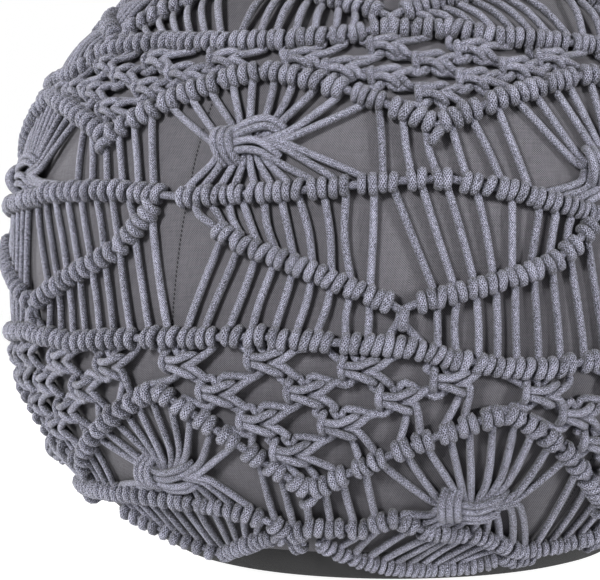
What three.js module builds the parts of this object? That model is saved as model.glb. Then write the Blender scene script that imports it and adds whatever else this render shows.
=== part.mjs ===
// A round pouf: a filled cushion, sewn from gores, inside a net knotted from cotton cord.
// Lengths are millimetres and angles are degrees. +Z is up, and the origin is the centre of the base,
// on the floor. A turn is an angle round the pouf, to the right of the front (-Y), and an along is a
// distance up the cushion's side, measured on its cover from the rim of the flat base.

import * as THREE from "three";

// Cushion
const CUSHION_RADIUS = 240;
const CUSHION_MIDDLE = 175; // height of the widest part
const CUSHION_RISE = 203; // from the widest part up to the crown
const FULLNESS = { upper: 2.4, lower: 2.2 }; // of the halves: 2 would be an ellipse, more is boxier
const CUSHION_ROWS = 22;
const GORES = 6;
const FIRST_SEAM = -27;
const SEAM_DEPTH = 2.5;
const SEAM_HALF_WIDTH = 1.4;
const COLUMNS_BETWEEN_SEAMS = 6;

// Net
const CORD = 5;
const CLEARANCE = 0.65; // between the net's corners and the cushion's cover
const STRAND_CLEARANCE = 1; // the same, along a strand
const ROOT_WIDTH = 5.6; // of a strand where it leaves a bar
const CORD_SHOULDER = 0.6; // width of a strand's outer face over its inner one
const LONG_STRAND = 34; // a strand gets one more step for each such length
const SHORT_STRAND = 16; // up to here a strand runs straight from root to root
const SIDE_CURVE = 158; // radius of the cushion's upright outline where it bends most under a strand

// Sections of the bars and knots: overall width and height, height between the ridges, and width of the
// outer face as a share of the overall width.
const SECTIONS = {
  bar: { width: 12, ridge: 11, dip: 8.6, shoulder: 0.62 },
  knot: { width: 20, ridge: 14, dip: 12, shoulder: 0.6 },
};

// Straight bars, from the crown down: their height up the side, the turn of their first slot and their
// count of slots.
const BARS = {
  collar: { along: 528, turn: 2, slots: 14 },
  crown: { along: 403, turn: 2, slots: 28 },
  shoulder: { along: 339, turn: -15, slots: 32 },
  upper: { along: 254, turn: -15, slots: 48 },
  lower: { along: 182, turn: -29.8, slots: 40 },
  skirt: { along: 72, turn: -29.8, slots: 48 },
  hem: { along: 34, turn: -29.8, slots: 20 },
};

// Arched bars over the fans: heights of the peaks and valleys, the turn of a peak, and the fan's knot.
const FANS = 8;
const FAN_PITCH = 360 / FANS;
const FAN_SLOTS = [-5, -3, -1, 1, 3, 5].map((step) => step / 12); // shares of a fan's pitch, from its middle
const KNOT_SLOTS = [-16.5, -5.5, 5.5, 16.5]; // from the knot's middle
const FAN_LEAN = 0.15; // lean of the strands over a valley, as a share of their turn from the fan's middle
const FAN_BANDS = {
  high: { peak: 318, valley: 281, turn: -18.75, knot: 283, above: "shoulder", below: "upper" },
  low: { peak: 146, valley: 104, turn: -33.55, knot: 106, above: "lower", below: "skirt" },
};

// V-shaped bars: heights of the ends and of the point, the turn of a point, and the shares of the V's
// half span at which its strands hang.
const VEES = 7;
const VEE_PITCH = 360 / VEES;
const VEE_SPREAD = 0.84; // of a pitch, the rest is the window between two Vs
const VEE_SLOTS = [-1, -0.5, 0, 0.5, 1]; // shares of a V's half span
const VEE_BANDS = {
  crown: { end: 385, point: 355, turn: 2, strands: [-1, 0, 1], above: "crown", below: "shoulder" },
  middle: { end: 236, point: 199, turn: -0.5, strands: VEE_SLOTS, above: "upper", below: "lower" },
};
const HEM_STRANDS = 8;

// The side of the cushion as a curve from the rim of its base up to the crown.
class CushionSide extends THREE.Curve {
  constructor() {
    super();
    this.arcLengthDivisions = 1000;
    this.start = -Math.asin((CUSHION_MIDDLE / CUSHION_RISE) ** (FULLNESS.lower / 2));
  }

  getPoint(t, target = new THREE.Vector2()) {
    const angle = this.start + t * (Math.PI / 2 - this.start);
    const power = 2 / (angle > 0 ? FULLNESS.upper : FULLNESS.lower);
    const radius = CUSHION_RADIUS * Math.max(Math.cos(angle), 0) ** power;
    const rise = CUSHION_RISE * Math.sign(angle) * Math.abs(Math.sin(angle)) ** power;
    return target.set(radius, CUSHION_MIDDLE + rise);
  }
}

const side = new CushionSide();
const sideLength = side.getLength();

function radiusAt(along) {
  return side.getPointAt(along / sideLength).x;
}

// The point at that turn and height up the side, lifted off the cover.
function onCushion(turn, along, lift) {
  const share = along / sideLength;
  const place = side.getPointAt(share);
  const slope = side.getTangentAt(share);
  const radius = place.x + lift * slope.y;
  const angle = THREE.MathUtils.degToRad(turn);
  return new THREE.Vector3(radius * Math.sin(angle), -radius * Math.cos(angle), place.y - lift * slope.x);
}

// How far a straight stretch dips below a curve of that radius.
function dipOf(length, radius) {
  return length ** 2 / (8 * radius);
}

function meshOf(name, points, triangles, material) {
  const geometry = new THREE.BufferGeometry().setFromPoints(points);
  geometry.setIndex(triangles);
  geometry.computeVertexNormals();
  const mesh = new THREE.Mesh(geometry, material);
  mesh.name = name;
  return mesh;
}

// Cushion: rings of points up the side, drawn in along the seams between the gores, with a flat base.
function makeCushion(material) {
  const columns = [];
  for (let gore = 0; gore < GORES; gore++) {
    const seam = FIRST_SEAM + (gore * 360) / GORES;
    const inner = 360 / GORES - 2 * SEAM_HALF_WIDTH;
    columns.push({ turn: seam, sunk: SEAM_DEPTH });
    for (let step = 0; step <= COLUMNS_BETWEEN_SEAMS; step++) {
      columns.push({ turn: seam + SEAM_HALF_WIDTH + (inner * step) / COLUMNS_BETWEEN_SEAMS, sunk: 0 });
    }
  }
  const points = [];
  for (let row = 0; row < CUSHION_ROWS; row++) {
    const share = row / CUSHION_ROWS;
    const seamFade = Math.sin(Math.PI * share); // seams run out at the base and the crown
    for (const column of columns) {
      points.push(onCushion(column.turn, share * sideLength, -column.sunk * seamFade));
    }
  }
  const crown = points.push(new THREE.Vector3(0, 0, CUSHION_MIDDLE + CUSHION_RISE)) - 1;
  const base = points.push(new THREE.Vector3(0, 0, 0)) - 1;

  const triangles = [];
  const count = columns.length;
  for (let i = 0; i < count; i++) {
    const next = (i + 1) % count;
    for (let row = 0; row < CUSHION_ROWS - 1; row++) {
      const low = row * count;
      const high = low + count;
      triangles.push(low + i, low + next, high + next, low + i, high + next, high + i);
    }
    const last = (CUSHION_ROWS - 1) * count;
    triangles.push(last + i, last + next, crown);
    triangles.push(next, i, base);
  }
  return meshOf("cushion", points, triangles, material);
}

// The net as one surface. Bars and knots are rows of four-cornered sections, and a slot is the short
// stretch of one between two sections, whose upper or lower side face a strand can grow out of.
class CordNet {
  constructor() {
    this.points = [];
    this.triangles = [];
    this.bars = [];
  }

  addPoint(point) {
    return this.points.push(point) - 1;
  }

  addQuad(a, b, c, d) {
    this.triangles.push(a, b, c, a, c, d);
  }

  // A bar on the path, which gives its height up the side at a turn. It closes on itself, or has two ends.
  addBar(section, path, slotTurns, closed) {
    const slots = slotTurns.map((turn) => ({ turn, along: path(turn), upper: false, lower: false }));
    const step = THREE.MathUtils.degToRad(slots[1].turn - slots[0].turn);
    const rings = [];
    for (const slot of slots) {
      const radius = radiusAt(slot.along);
      const halfRoot = THREE.MathUtils.radToDeg(ROOT_WIDTH / 2 / radius);
      const climb = Math.abs(path(slot.turn + halfRoot) - path(slot.turn - halfRoot)) / ROOT_WIDTH;
      const reach = step * radius - ROOT_WIDTH;
      const inner = CLEARANCE + dipOf(reach, radius) + dipOf(reach * climb, SIDE_CURVE);
      rings.push(this.addSection(section, path, slot.turn - halfRoot, inner, section.ridge));
      rings.push(this.addSection(section, path, slot.turn + halfRoot, inner, section.dip));
    }
    const bar = { section, slots, rings, closed };
    this.bars.push(bar);
    return bar;
  }

  // Corners of a section, in order: low inner, low outer, high outer, high inner.
  addSection(section, path, turn, inner, outer) {
    const half = section.width / 2;
    const middle = path(turn);
    return [
      [-half, inner],
      [-half * section.shoulder, outer],
      [half * section.shoulder, outer],
      [half, inner],
    ].map(([across, lift]) => this.addPoint(onCushion(turn, middle + across, lift)));
  }

  // A strand from the under side of one slot down to the top of another, laid along the cushion.
  addStrand(upperBar, upperSlot, lowerBar, lowerSlot) {
    upperSlot.lower = true;
    lowerSlot.upper = true;
    const [left, right] = this.ringsOf(upperBar, upperSlot);
    const [lowLeft, lowRight] = this.ringsOf(lowerBar, lowerSlot);
    const top = { turn: upperSlot.turn, along: upperSlot.along - upperBar.section.width / 2 };
    const foot = { turn: lowerSlot.turn, along: lowerSlot.along + lowerBar.section.width / 2 };
    const turning = THREE.MathUtils.euclideanModulo(foot.turn - top.turn + 180, 360) - 180;
    const radius = radiusAt((top.along + foot.along) / 2);
    const sideways = THREE.MathUtils.degToRad(turning) * radius;
    const length = Math.hypot(sideways, foot.along - top.along);
    const steps = length < SHORT_STRAND ? 0 : 1 + Math.floor(length / LONG_STRAND);
    const lift = STRAND_CLEARANCE + dipOf(length / (steps + 1), SIDE_CURVE);

    let loop = [left[0], left[1], right[1], right[0]];
    for (let step = 1; step <= steps; step++) {
      const share = step / (steps + 1);
      const turn = top.turn + turning * share;
      const along = THREE.MathUtils.lerp(top.along, foot.along, share);
      const across = [
        [-1, lift],
        [-CORD_SHOULDER, lift + CORD],
        [CORD_SHOULDER, lift + CORD],
        [1, lift],
      ];
      const toRight = { turn: (top.along - foot.along) / length, along: sideways / length };
      const degreesEach = THREE.MathUtils.radToDeg(1 / radiusAt(along));
      const below = across.map(([offset, height]) => {
        const shift = (offset * CORD) / 2;
        const shiftedTurn = turn + shift * toRight.turn * degreesEach;
        return this.addPoint(onCushion(shiftedTurn, along + shift * toRight.along, height));
      });
      this.addTube(loop, below);
      loop = below;
    }
    this.addTube(loop, [lowLeft[3], lowLeft[2], lowRight[2], lowRight[3]]);
  }

  addTube(above, below) {
    above.forEach((corner, i) => {
      const next = (i + 1) % above.length;
      this.addQuad(below[i], below[next], above[next], corner);
    });
  }

  ringsOf(bar, slot) {
    const first = 2 * bar.slots.indexOf(slot);
    return [bar.rings[first], bar.rings[first + 1]];
  }

  // The bars' own faces, apart from the side faces that strands grow out of.
  closeBars() {
    for (const bar of this.bars) {
      const count = bar.rings.length;
      for (let i = 0; i < (bar.closed ? count : count - 1); i++) {
        const ring = bar.rings[i];
        const next = bar.rings[(i + 1) % count];
        const slot = i % 2 === 0 ? bar.slots[i / 2] : null;
        for (let corner = 0; corner < ring.length; corner++) {
          const taken = slot && ((corner === 0 && slot.lower) || (corner === 2 && slot.upper));
          const after = (corner + 1) % ring.length;
          if (!taken) this.addQuad(ring[corner], next[corner], next[after], ring[after]);
        }
      }
      if (!bar.closed) {
        this.addQuad(...bar.rings[0]);
        this.addQuad(...bar.rings[count - 1].toReversed());
      }
    }
  }
}

function evenTurns(first, count) {
  return Array.from({ length: count }, (_, i) => first + (i * 360) / count);
}

// The free slot of a bar nearest to a turn, on its upper or lower side.
function nearestSlot(bar, turn, face) {
  const away = (slot) => Math.abs(THREE.MathUtils.euclideanModulo(slot.turn - turn + 180, 360) - 180);
  return bar.slots.filter((slot) => !slot[face]).sort((a, b) => away(a) - away(b))[0];
}

// A strand from one bar to the other, between the slots nearest to the two turns.
function hang(net, upperBar, upperTurn, lowerBar, lowerTurn) {
  const upperSlot = nearestSlot(upperBar, upperTurn, "lower");
  const lowerSlot = nearestSlot(lowerBar, lowerTurn, "upper");
  net.addStrand(upperBar, upperSlot, lowerBar, lowerSlot);
}

// A band of fans: an arched bar, and under each arch a knot with strands that fan out to the bars.
function addFans(net, bars, band) {
  const middles = evenTurns(band.turn, FANS);
  const archPath = (turn) => {
    const share = 0.5 + 0.5 * Math.cos(((turn - band.turn) / FAN_PITCH) * 2 * Math.PI);
    return THREE.MathUtils.lerp(band.valley, band.peak, share);
  };
  const archTurns = middles.flatMap((middle) => FAN_SLOTS.map((share) => middle + share * FAN_PITCH));
  const arches = net.addBar(SECTIONS.bar, archPath, archTurns, true);
  const degreesEach = THREE.MathUtils.radToDeg(1 / radiusAt(band.knot));
  middles.forEach((middle) => {
    const [leftEnd, ...inner] = FAN_SLOTS.map((share) => middle + share * FAN_PITCH);
    const rightEnd = inner.pop();
    const knotTurns = KNOT_SLOTS.map((offset) => middle + offset * degreesEach);
    const knot = net.addBar(SECTIONS.knot, () => band.knot, knotTurns, false);
    inner.forEach((turn, i) => {
      hang(net, arches, turn, knot, knotTurns[i]);
      hang(net, knot, knotTurns[i], bars[band.below], turn);
    });
    for (const turn of [leftEnd, rightEnd]) {
      hang(net, arches, turn, bars[band.below], turn);
      const lean = (turn - middle) * FAN_LEAN;
      hang(net, bars[band.above], turn - lean, arches, turn);
    }
  });
}

// A band of Vs: strands from the bar above to each V, and on from it to the bar below.
function addVees(net, bars, band) {
  for (const middle of evenTurns(band.turn, VEES)) {
    const halfSpan = (VEE_PITCH * VEE_SPREAD) / 2;
    const path = (turn) => THREE.MathUtils.lerp(band.point, band.end, Math.abs(turn - middle) / halfSpan);
    const slotTurns = VEE_SLOTS.map((share) => middle + share * halfSpan);
    const vee = net.addBar(SECTIONS.bar, path, slotTurns, false);
    for (const share of band.strands) {
      const turn = middle + share * halfSpan;
      hang(net, bars[band.above], turn, vee, turn);
      hang(net, vee, turn, bars[band.below], turn);
    }
  }
}

function makeNet(material) {
  const net = new CordNet();
  const bars = {};
  for (const [name, row] of Object.entries(BARS)) {
    bars[name] = net.addBar(SECTIONS.bar, () => row.along, evenTurns(row.turn, row.slots), true);
  }
  bars.collar.slots.forEach((slot) => hang(net, bars.collar, slot.turn, bars.crown, slot.turn));
  Object.values(VEE_BANDS).forEach((band) => addVees(net, bars, band));
  Object.values(FAN_BANDS).forEach((band) => addFans(net, bars, band));
  evenTurns(BARS.hem.turn, HEM_STRANDS).forEach((turn) => hang(net, bars.skirt, turn, bars.hem, turn));
  net.closeBars();
  return meshOf("cord_net", net.points, net.triangles, material);
}

const coverCloth = new THREE.MeshStandardMaterial({ color: 0x66676d, roughness: 0.95, metalness: 0 });
const cottonCord = new THREE.MeshStandardMaterial({ color: 0x7d808b, roughness: 0.92, metalness: 0 });

const pouf = new THREE.Group();
pouf.add(makeCushion(coverCloth));
pouf.add(makeNet(cottonCord));

export default pouf;
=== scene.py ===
"""Looks of the macrame pouf: a filled cushion in its sewn cover, inside a net of knotted cotton cord.

A turn is an angle in degrees round the pouf, to the right of its front (-Y). An along is a distance up the
cushion's side from the rim of its flat base, and a lift is a height off its cover, both in millimetres.
A row is one turn, along and lift. The meshes are in metres, in the frame's own axes.
"""

import math

import bmesh
import bpy
import numpy as np
from mathutils.kdtree import KDTree
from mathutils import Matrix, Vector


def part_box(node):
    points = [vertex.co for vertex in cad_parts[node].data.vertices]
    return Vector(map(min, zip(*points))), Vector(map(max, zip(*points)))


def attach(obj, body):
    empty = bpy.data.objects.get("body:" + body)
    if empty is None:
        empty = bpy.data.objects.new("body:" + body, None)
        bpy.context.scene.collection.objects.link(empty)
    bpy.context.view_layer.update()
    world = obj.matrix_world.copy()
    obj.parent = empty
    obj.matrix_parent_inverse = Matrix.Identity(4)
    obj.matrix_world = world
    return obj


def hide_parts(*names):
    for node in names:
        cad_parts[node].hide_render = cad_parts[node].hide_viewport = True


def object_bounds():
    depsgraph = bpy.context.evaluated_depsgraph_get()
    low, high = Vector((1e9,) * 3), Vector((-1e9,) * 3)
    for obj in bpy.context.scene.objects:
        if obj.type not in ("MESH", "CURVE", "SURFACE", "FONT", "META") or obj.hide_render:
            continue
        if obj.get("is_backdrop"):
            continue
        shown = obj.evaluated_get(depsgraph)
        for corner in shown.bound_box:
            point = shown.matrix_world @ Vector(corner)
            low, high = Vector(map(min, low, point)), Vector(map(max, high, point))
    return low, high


MM = 0.001

# Camera, read from the pouf's outline in the photograph
IMAGE_WIDTH, IMAGE_HEIGHT = 600, 580
AXIS_PIXEL = (395, 278)  # the image point that the camera's axis goes through
FOCAL_PIXELS = 1455
SENSOR_WIDTH = 36
CAMERA_AWAY = 954  # millimetres from the pouf's own axis
CAMERA_HEIGHT = 171

# Cushion, in millimetres and degrees
CUSHION_MIDDLE = 175  # height of its widest part
UPPER_FULLNESS, LOWER_FULLNESS = 2.4, 2.2  # of its halves: 2 would be an ellipse, more is boxier
OUTLINE_STEPS = 6000
CROWN_STOP = 0.9985  # share of the outline that is spun, up to just beside the axis
CROWN_RISE = 120  # over the middle: from here up, a point's place is read from its radius
TOUCH = 0.01  # closer than this is on the base
GORES = 6
FIRST_SEAM = -27
SEAM_WIDTH = 1.3
SEAM_LEAN = 0.035  # degrees a millimetre, from the height below
SEAM_STRAIGHT = 235
STITCH_PITCH = 2.3
STITCH_WIDTH = 0.45
STITCH_LEVEL = 0.3  # a stitch lies where a wave of its pitch is below this
COVER_COLUMNS = 216
COVER_ROWS = 84
PRESS_DEPTH = 1.2  # how far the cords press the cover in
PRESS_REACH = 6.0
PRESSURE = 4.0
SWELL_QUALITY = 5
SWELL_FRAMES = 20
SWELL_LIMIT = 3.0
BASE_FADE, CROWN_FADE = 12, 6  # how steeply press and swell set in from the base and from the crown
HELD_SHARE = 0.5  # the cover is held where they have set in by less than this
DARK_BOTTOM = 42  # how far up the side, from the base's rim, the cover is coloured near-black

# Cord
CORD_RADIUS = 2.1
CORD_SIDES = 7
COIL_WIDTH = 5.2  # a coil is pulled flatter and wider than the cord
COIL_SQUEEZE = 1.02  # coils that lie close press into each other
COIL_STEPS = 8
COIL_ANGLES = np.radians(np.linspace(-40, 220, COIL_STEPS + 1))  # 0 is the bar's upper edge, 90 its front
COIL_HALF_HEIGHT = 3.5
COIL_DEPTH = 3.3
COIL_MIDDLE = 5.2  # lift of the cord that the coils are hitched on
SLANTED_LEAN = 0.25  # of the coils on arches and Vs
ARCH_COIL = 5.7
ARCH_BEAD = {"aside": -0.2, "up": -6, "lean": 1}  # coil in an arch's valley: degrees aside, millimetres up
SPARE_SPACE = (4.2, 9.0)  # room between two cords' coils that a spare coil fills
LOOSE_TURNS = (-100, -34)  # between these turns the bars have single coils, so far apart and so wide
LOOSE_STEP = 7.2
LOOSE_WIDTH = 5.6
LOOSE_GAP = 1.4  # degrees
HOLDING_RADIUS = 2.2
HOLDING_STEP = 1.4  # degrees from one bend of a holding cord to the next
HOLDING_START = 1.7  # degrees over which a holding cord turns into its arm
STRAND_LIFT = 2.7
STRAND_BOW = 0.15  # degrees
SHORT_STRAND = 6
TOP_SPANS, KNOT_SPANS = 6, 4  # steps from row to row of a cord on the top, and of one in a fan knot

# How a cord comes to a bar and goes from it, in millimetres along the bar from the middle of its coils
HITCH = (-2.4, 3.0)
ARCH_HITCH = (-1.5, 1.5)
# Its places outside the coils and behind them: share of that way, distance above or below, and lift
HITCH_OUTSIDE = (1.0, 4.0, 3.2)
HITCH_BEHIND = (0.8, 0.5, 3.0)

# The net's cords, which all run down the side of the pouf
CORDS = 128
CORD_STEP = 360 / CORDS
FIRST_TURN = 5.0  # of a valley of the high arches
FAN_CORDS = 16
FANS = CORDS // FAN_CORDS
LOW_FAN_SHIFT = -6  # cords from a high valley to a low one

# Straight bars: height up the side, coils on each cord, how far the coils lean, and the turns at which a bar
# lies higher or lower by so much
STRAIGHT_BARS = {
    "collar": {"along": 528, "coils": 1, "lean": 0.3, "sway": ((0, 0),)},
    "crown": {"along": 402, "coils": 1, "lean": 0.6, "sway": ((-120, 0), (-90, -6), (-55, -3), (-30, 0))},
    "shoulder": {
        "along": 339, "coils": 2, "lean": 0.5,
        "sway": (
            (-100, 0), (-80, -5), (-58, -8), (-54, -7), (-52, -3), (-50, 2), (-46, 3), (-37, 3),
            (-30, 0), (-17, -2), (-6, 0), (-2, 4), (8, 4), (14, -1), (28, -2), (45, 0),
        ),
    },
    "upper": {
        "along": 256, "coils": 2, "lean": 0.5,
        "sway": (
            (-80, 0), (-50, 2), (-38, 1), (-26, -3), (-10, 0), (0, 3),
            (6, 4), (13, -1), (19, -7), (26, -13), (35, -9), (60, 0),
        ),
    },
    "lower": {
        "along": 180, "coils": 2, "lean": 0.9,
        "sway": (
            (-80, 0), (-59, 3), (-46, -2), (-28, 3), (-16, 5), (-6, 1),
            (1, -1), (6, -7), (13, -12), (18, -12), (24, -8), (60, 0),
        ),
    },
    "skirt": {
        "along": 76, "coils": 2, "lean": 0.5,
        "sway": (
            (-90, 0), (-60, 7), (-46, 11), (-32, 11), (-22, 6), (-19, 0), (-16.5, -9), (-13, -2),
            (-5, -3), (0, 5), (5, -6), (13, -9), (17, -16), (22, -26), (31, -23), (45, -12), (75, 0),
        ),
    },
}
# Degrees by which cords have been pulled round on a bar, and by which they stand aside at a window
DRIFT = {
    "upper": (
        (-65, 0), (-40, 3.2), (-31, 4.0), (-22, 3.2), (-16, 2.1), (-12, 1.3), (-2, 1.4),
        (3.6, 1.9), (6.4, 2.7), (9.2, 3.8), (12, 4.2), (16, 3.8), (21, 2.4), (30, 0),
    ),
    "lower": (
        (-75, 0), (-45, 1.5), (-27, 2.1), (-5, 2.3), (1, 2.7), (3.6, 2.3),
        (6.4, 1.5), (12, 0.8), (15, 0.2), (24, 0.8), (40, 0),
    ),
    "skirt": ((-20, 0), (-8, 1.5), (-5, 2.5), (-2, 4.0), (2, 3.8), (5, 2.6), (10, 1.0), (20, 0)),
}
PARTING = 1.1
PARTING_REACH = 5

# Arched bars over the fans: heights of valley and peak, roundness, the peak's share of the way between two
# valleys, height of the fan's knot, distance of the loose coils, cords from a high valley to one of these,
# and the turns at which arch and knot lie higher or lower
ARCHES = {
    "high": {
        "valley": 286,
        "peak": 319,
        "round": 1.35,
        "top": 0.5,
        "knot": 279,
        "loose": 8.0,
        "shift": 0,
        "sway": ((0, 0),),
        "knot_sway": ((-90, 0), (-62, -7), (-30, 0), (5, 0), (25, -10), (60, 0)),
    },
    "low": {
        "valley": 102,
        "peak": 155,
        "round": 1.15,
        "top": 0.57,
        "knot": 104,
        "loose": 10.0,
        "shift": LOW_FAN_SHIFT,
        "sway": ((-30, 0), (-12, -1), (12, -10), (22, -9), (31, -15), (45, -6), (70, 0)),
        "knot_sway": ((-80, 0), (-34, 3), (-12, 0), (11, -12), (60, 0)),
    },
}

# Bands of V bars: the cord that the first V starts with, the cords that each V takes with its right arm's
# climb, the height of the Vs' points, and the lift of their cords. A V's outermost two cords hold its arms.
# Shares are of half the way from one window to the next, with 0 midway: where the arms meet, where the right
# arm's cords start, and how a cord's share on the V follows from its even share of the bar above. An arm
# climbs evenly, and from its bend on ever more steeply.
VEE_BANDS = {
    "crown": {
        "first": -11,
        "vees": ((18, 38), (18, 38), (19, 38), (18, 38), (18, 38), (21, 38), (16, 42)),
        "point": 352,
        "lift": 6.0,
        "valley": 0.0,
        "split": 0.0,
        "left": {"move": -0.05, "scale": 0.90, "climb": 38, "bend": 0.7, "curl": 120, "hitch": (-1.5, 0)},
        "right": {"move": 0.08, "scale": 0.86, "bend": 0.7, "curl": 120, "hitch": (-1.0, 0)},
    },
    "middle": {
        "first": -13,
        "vees": ((20, 31), (18, 36), (18, 36), (18, 36), (18, 36), (16, 36), (20, 43)),
        "point": 198,
        "lift": STRAND_LIFT,
        "valley": 0.065,
        "split": 0.0,
        "left": {"move": -0.01, "scale": 0.836, "climb": 45, "bend": 0.66, "curl": 80, "hitch": (-2.2, -2.4)},
        "right": {"move": 0.168, "scale": 0.86, "bend": 0.56, "curl": 170, "hitch": (-1.0, 0.5)},
    },
}
ARM_DROP = 2  # an arm stays so far under the bar that it hangs from
# Where a V's two holding cords cross: degrees aside, millimetres up and lift. Coils cover the crossing.
VALLEY_OVER = ((0.2, -2.5, 5.4), (0.3, -8.0, 4.4))
VALLEY_UNDER = ((0.0, -1.5, 4.4), (-0.4, -7.0, 3.4))
VALLEY_COILS = (("left", -1.7, 0.0, 0.5), ("left", 0.25, -6.0, 1.2), ("right", 2.3, 0.0, 0.3))

# Vs of the hem: heights of their ends and points, the share of a V that its cords take up, its coils' lean,
# its least drop under the skirt's bar, degrees by which each V is pulled round, and the turns at which the Vs
# are rounder and at which their points lie higher or lower
HEM = {
    "end": 74,
    "point": 36,
    "spread": 0.86,
    "lean": 0.4,
    "drop": 9,
    "slants": (-4, 0, -4, 0, -4, 0, -10, 0),
    "round": ((-30, 0.95), (6, 2.3), (30, 2.3), (60, 0.95)),
    "sway": ((-130, 0), (-80, 24), (-36, 3), (10, -2), (60, 0)),
}

# Square knot, in millimetres from its middle: right, up and lift of the points on each cord's way
KNOT_TUBES = (
    ((-6.2, 6, 2.8), (-7.2, 3.4, 6.8), (-7.6, 0, 8.4), (-7.3, -3.4, 6.9), (-6.6, -6.2, 2.9)),
    ((-7, 0.6, 4.2), (-4.4, 1.6, 7.2), (1, 1.9, 8.8), (5.6, 3.6, 8.2), (8.6, 4.2, 6), (10.2, 3.4, 3.2)),
    ((-7, -1.2, 4), (-4.4, -2.2, 7), (0.8, -3.4, 8.5), (5, -5.6, 7.6), (7.6, -7, 5.4), (8.8, -7.4, 3.2)),
)
KNOT_ARRIVE = (
    ((-11, 5.2, 2.9), (-6, 2.2, 3.2)),
    ((-2, 6.6, 3.2), (1, 2, 3.4)),
    ((5, 7.6, 3), (2.5, 2.5, 3.2)),
    ((16.5, 4.8, 4.4), (11.5, 1.4, 6.6), (6.6, -1.2, 6.2), (3, -1.8, 4.6)),
)
KNOT_LEAVE = (
    ((-1, -4.4, 4), (-6, -9.6, 3.4)),
    ((1.5, -3, 3.2), (-3, -8, 3)),
    ((2, -3, 3.2), (6.4, -8.6, 2.9)),
    ((4, -1.4, 5.2), (10.5, -3.4, 6.6), (15.5, -8.4, 5)),
)
KNOT_ROWS = 4
KNOT_CORDS = 4
# Bands of square knots: the knots' width and height, the drop from the bar above to their first row, the rise
# from the arch's valley to their last row, and how far the rows lie to the right and slip, in degrees
KNOT_BANDS = {
    "high": {"width": 0.84, "height": 0.70, "drop": 11.5, "rise": 17.5, "aside": -0.8, "slant": 0.0},
    "low": {"width": 1.0, "height": 0.96, "drop": 11.8, "rise": 25.0, "aside": 0.1, "slant": -1.05},
}

# Fan knot, in the same columns: three wraps, two pairs of cords across the front, and the fan's ends
FAN_WRAP = ((-12.6, 8, 2.8), (-14.8, 4.8, 9), (-14.6, -1, 12), (-13, -6.6, 9.4), (-11, -10.4, 3))
FAN_WRAP_SHIFTS = (-1.4, 2.5, 6.4)
FAN_WRAP_RADIUS = 2.3
FAN_ACROSS = {
    "high": (
        ((-13.5, 1.8, 4), (-9.6, 3.4, 7.8), (0, 8.5, 9.6), (9, 10.7, 9), (14.5, 9, 6.6), (17.5, 7, 3)),
        ((-13.5, 0, 4), (-9.6, 0.6, 8), (0, 4.4, 10), (9, 6.7, 9), (13.4, 5.6, 6.6), (16, 4, 3)),
        ((-13.5, -2, 4), (-9.6, -1.8, 8), (0, -0.2, 9.8), (6.7, -0.9, 9), (12.5, -4.2, 6.6), (16, -6.6, 3)),
        (
            (-13.5, -4, 4), (-9.2, -5.2, 7.6), (0, -4.7, 9.2),
            (6.7, -5.6, 8.2), (10.7, -7.6, 6), (13.2, -9.2, 2.8),
        ),
    ),
    "low": (
        ((-11.5, 2.6, 4), (-8.8, 3, 7.8), (0, 2.4, 9.6), (9, 4, 9), (15, 5.6, 6.6), (18, 6, 3)),
        ((-11.5, -0.6, 4), (-8.8, -1, 8), (0, -1.6, 9.8), (8, -0.2, 9), (12.6, 1.4, 6.6), (15, 2.6, 3.2)),
        ((-11.5, -3, 4), (-8.6, -4.2, 8), (0, -5.6, 9.6), (8, -6, 8.6), (12.5, -5.8, 6), (15, -5.2, 2.8)),
        ((-9.5, -6, 4), (-6, -8, 7), (0, -9.4, 8.4), (8, -9.8, 7.4), (13, -9, 5.4), (16, -8, 2.8)),
    ),
}
FAN_ARRIVE = (
    ((-23, 2.4, 3.4), (-15, -1, 4)),
    ((-20.5, 6.4, 3.4), (-13, 0, 4)),
    ((-10.5, 9.4, 3.6), (-5, -1, 4.6)),
    ((-6.6, 11.2, 3.6), (-2.4, -1, 4.8)),
    ((-1.6, 13, 3.6), (-0.4, -1, 5)),
    ((6.8, 14.2, 3.6), (2.2, -1, 5)),
    ((13.6, 14.8, 3.8), (4.6, -0.6, 5)),
    ((17.4, 12.4, 4.4), (6.4, -0.4, 5)),
    ((25, 8.2, 4.8), (16, 2.6, 6.4), (6, -0.4, 5.4)),
    ((27, 4.6, 4.8), (18, 0.2, 6.2), (7, -1.2, 5.2)),
)
FAN_LEAVE = (
    ((-16.5, -3, 4.2), (-19.8, -9.6, 3.4)),
    ((-13.5, -5, 4.2), (-16.4, -12.4, 3.4)),
    ((-6, -4, 4.6), (-8.4, -11.4, 3.4)),
    ((-2, -4, 4.6), (-3.4, -12, 3.4)),
    ((1, -4, 4.6), (1.2, -12, 3.4)),
    ((4, -4, 4.6), (6.4, -11.8, 3.4)),
    ((6.5, -3.6, 4.6), (11, -11, 3.4)),
    ((8.5, -3.2, 4.6), (15, -9.8, 3.4)),
    ((7, -0.6, 5.8), (14, -2, 6.6), (22, -5.4, 5)),
    ((9, 0.2, 5.8), (18, -0.8, 6.4), (27, -4.4, 4.8)),
)
FAN_FIRST = 3  # cords on each side of a fan that run straight down

# Cotton cord: yarns round it, millimetres from yarn to yarn, the height below which the braid is dark and how
# steeply it turns pale, what each thing counts for in the mix of its two colours, and in its relief
BRAID_YARNS = 12
BRAID_PITCH = 1.4
BRAID_DARK = 0.3
BRAID_EDGE = 2.0
# The facing share paints shade and light: a cord is coloured darker on the side that faces the cover, paler
# on its outer side.
CORD_MIX = {"yarn": 0.85, "fleck": 2.0, "cloud": 0.3, "tone": 0.05, "facing_shade": 0.34, "less": 0.65}
CORD_RELIEF = {"yarn": 0.8, "fleck": 0.5}
CORD_DARK = (0.009, 0.009, 0.015, 1)
CORD_PALE = (0.441, 0.443, 0.567, 1)

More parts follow.
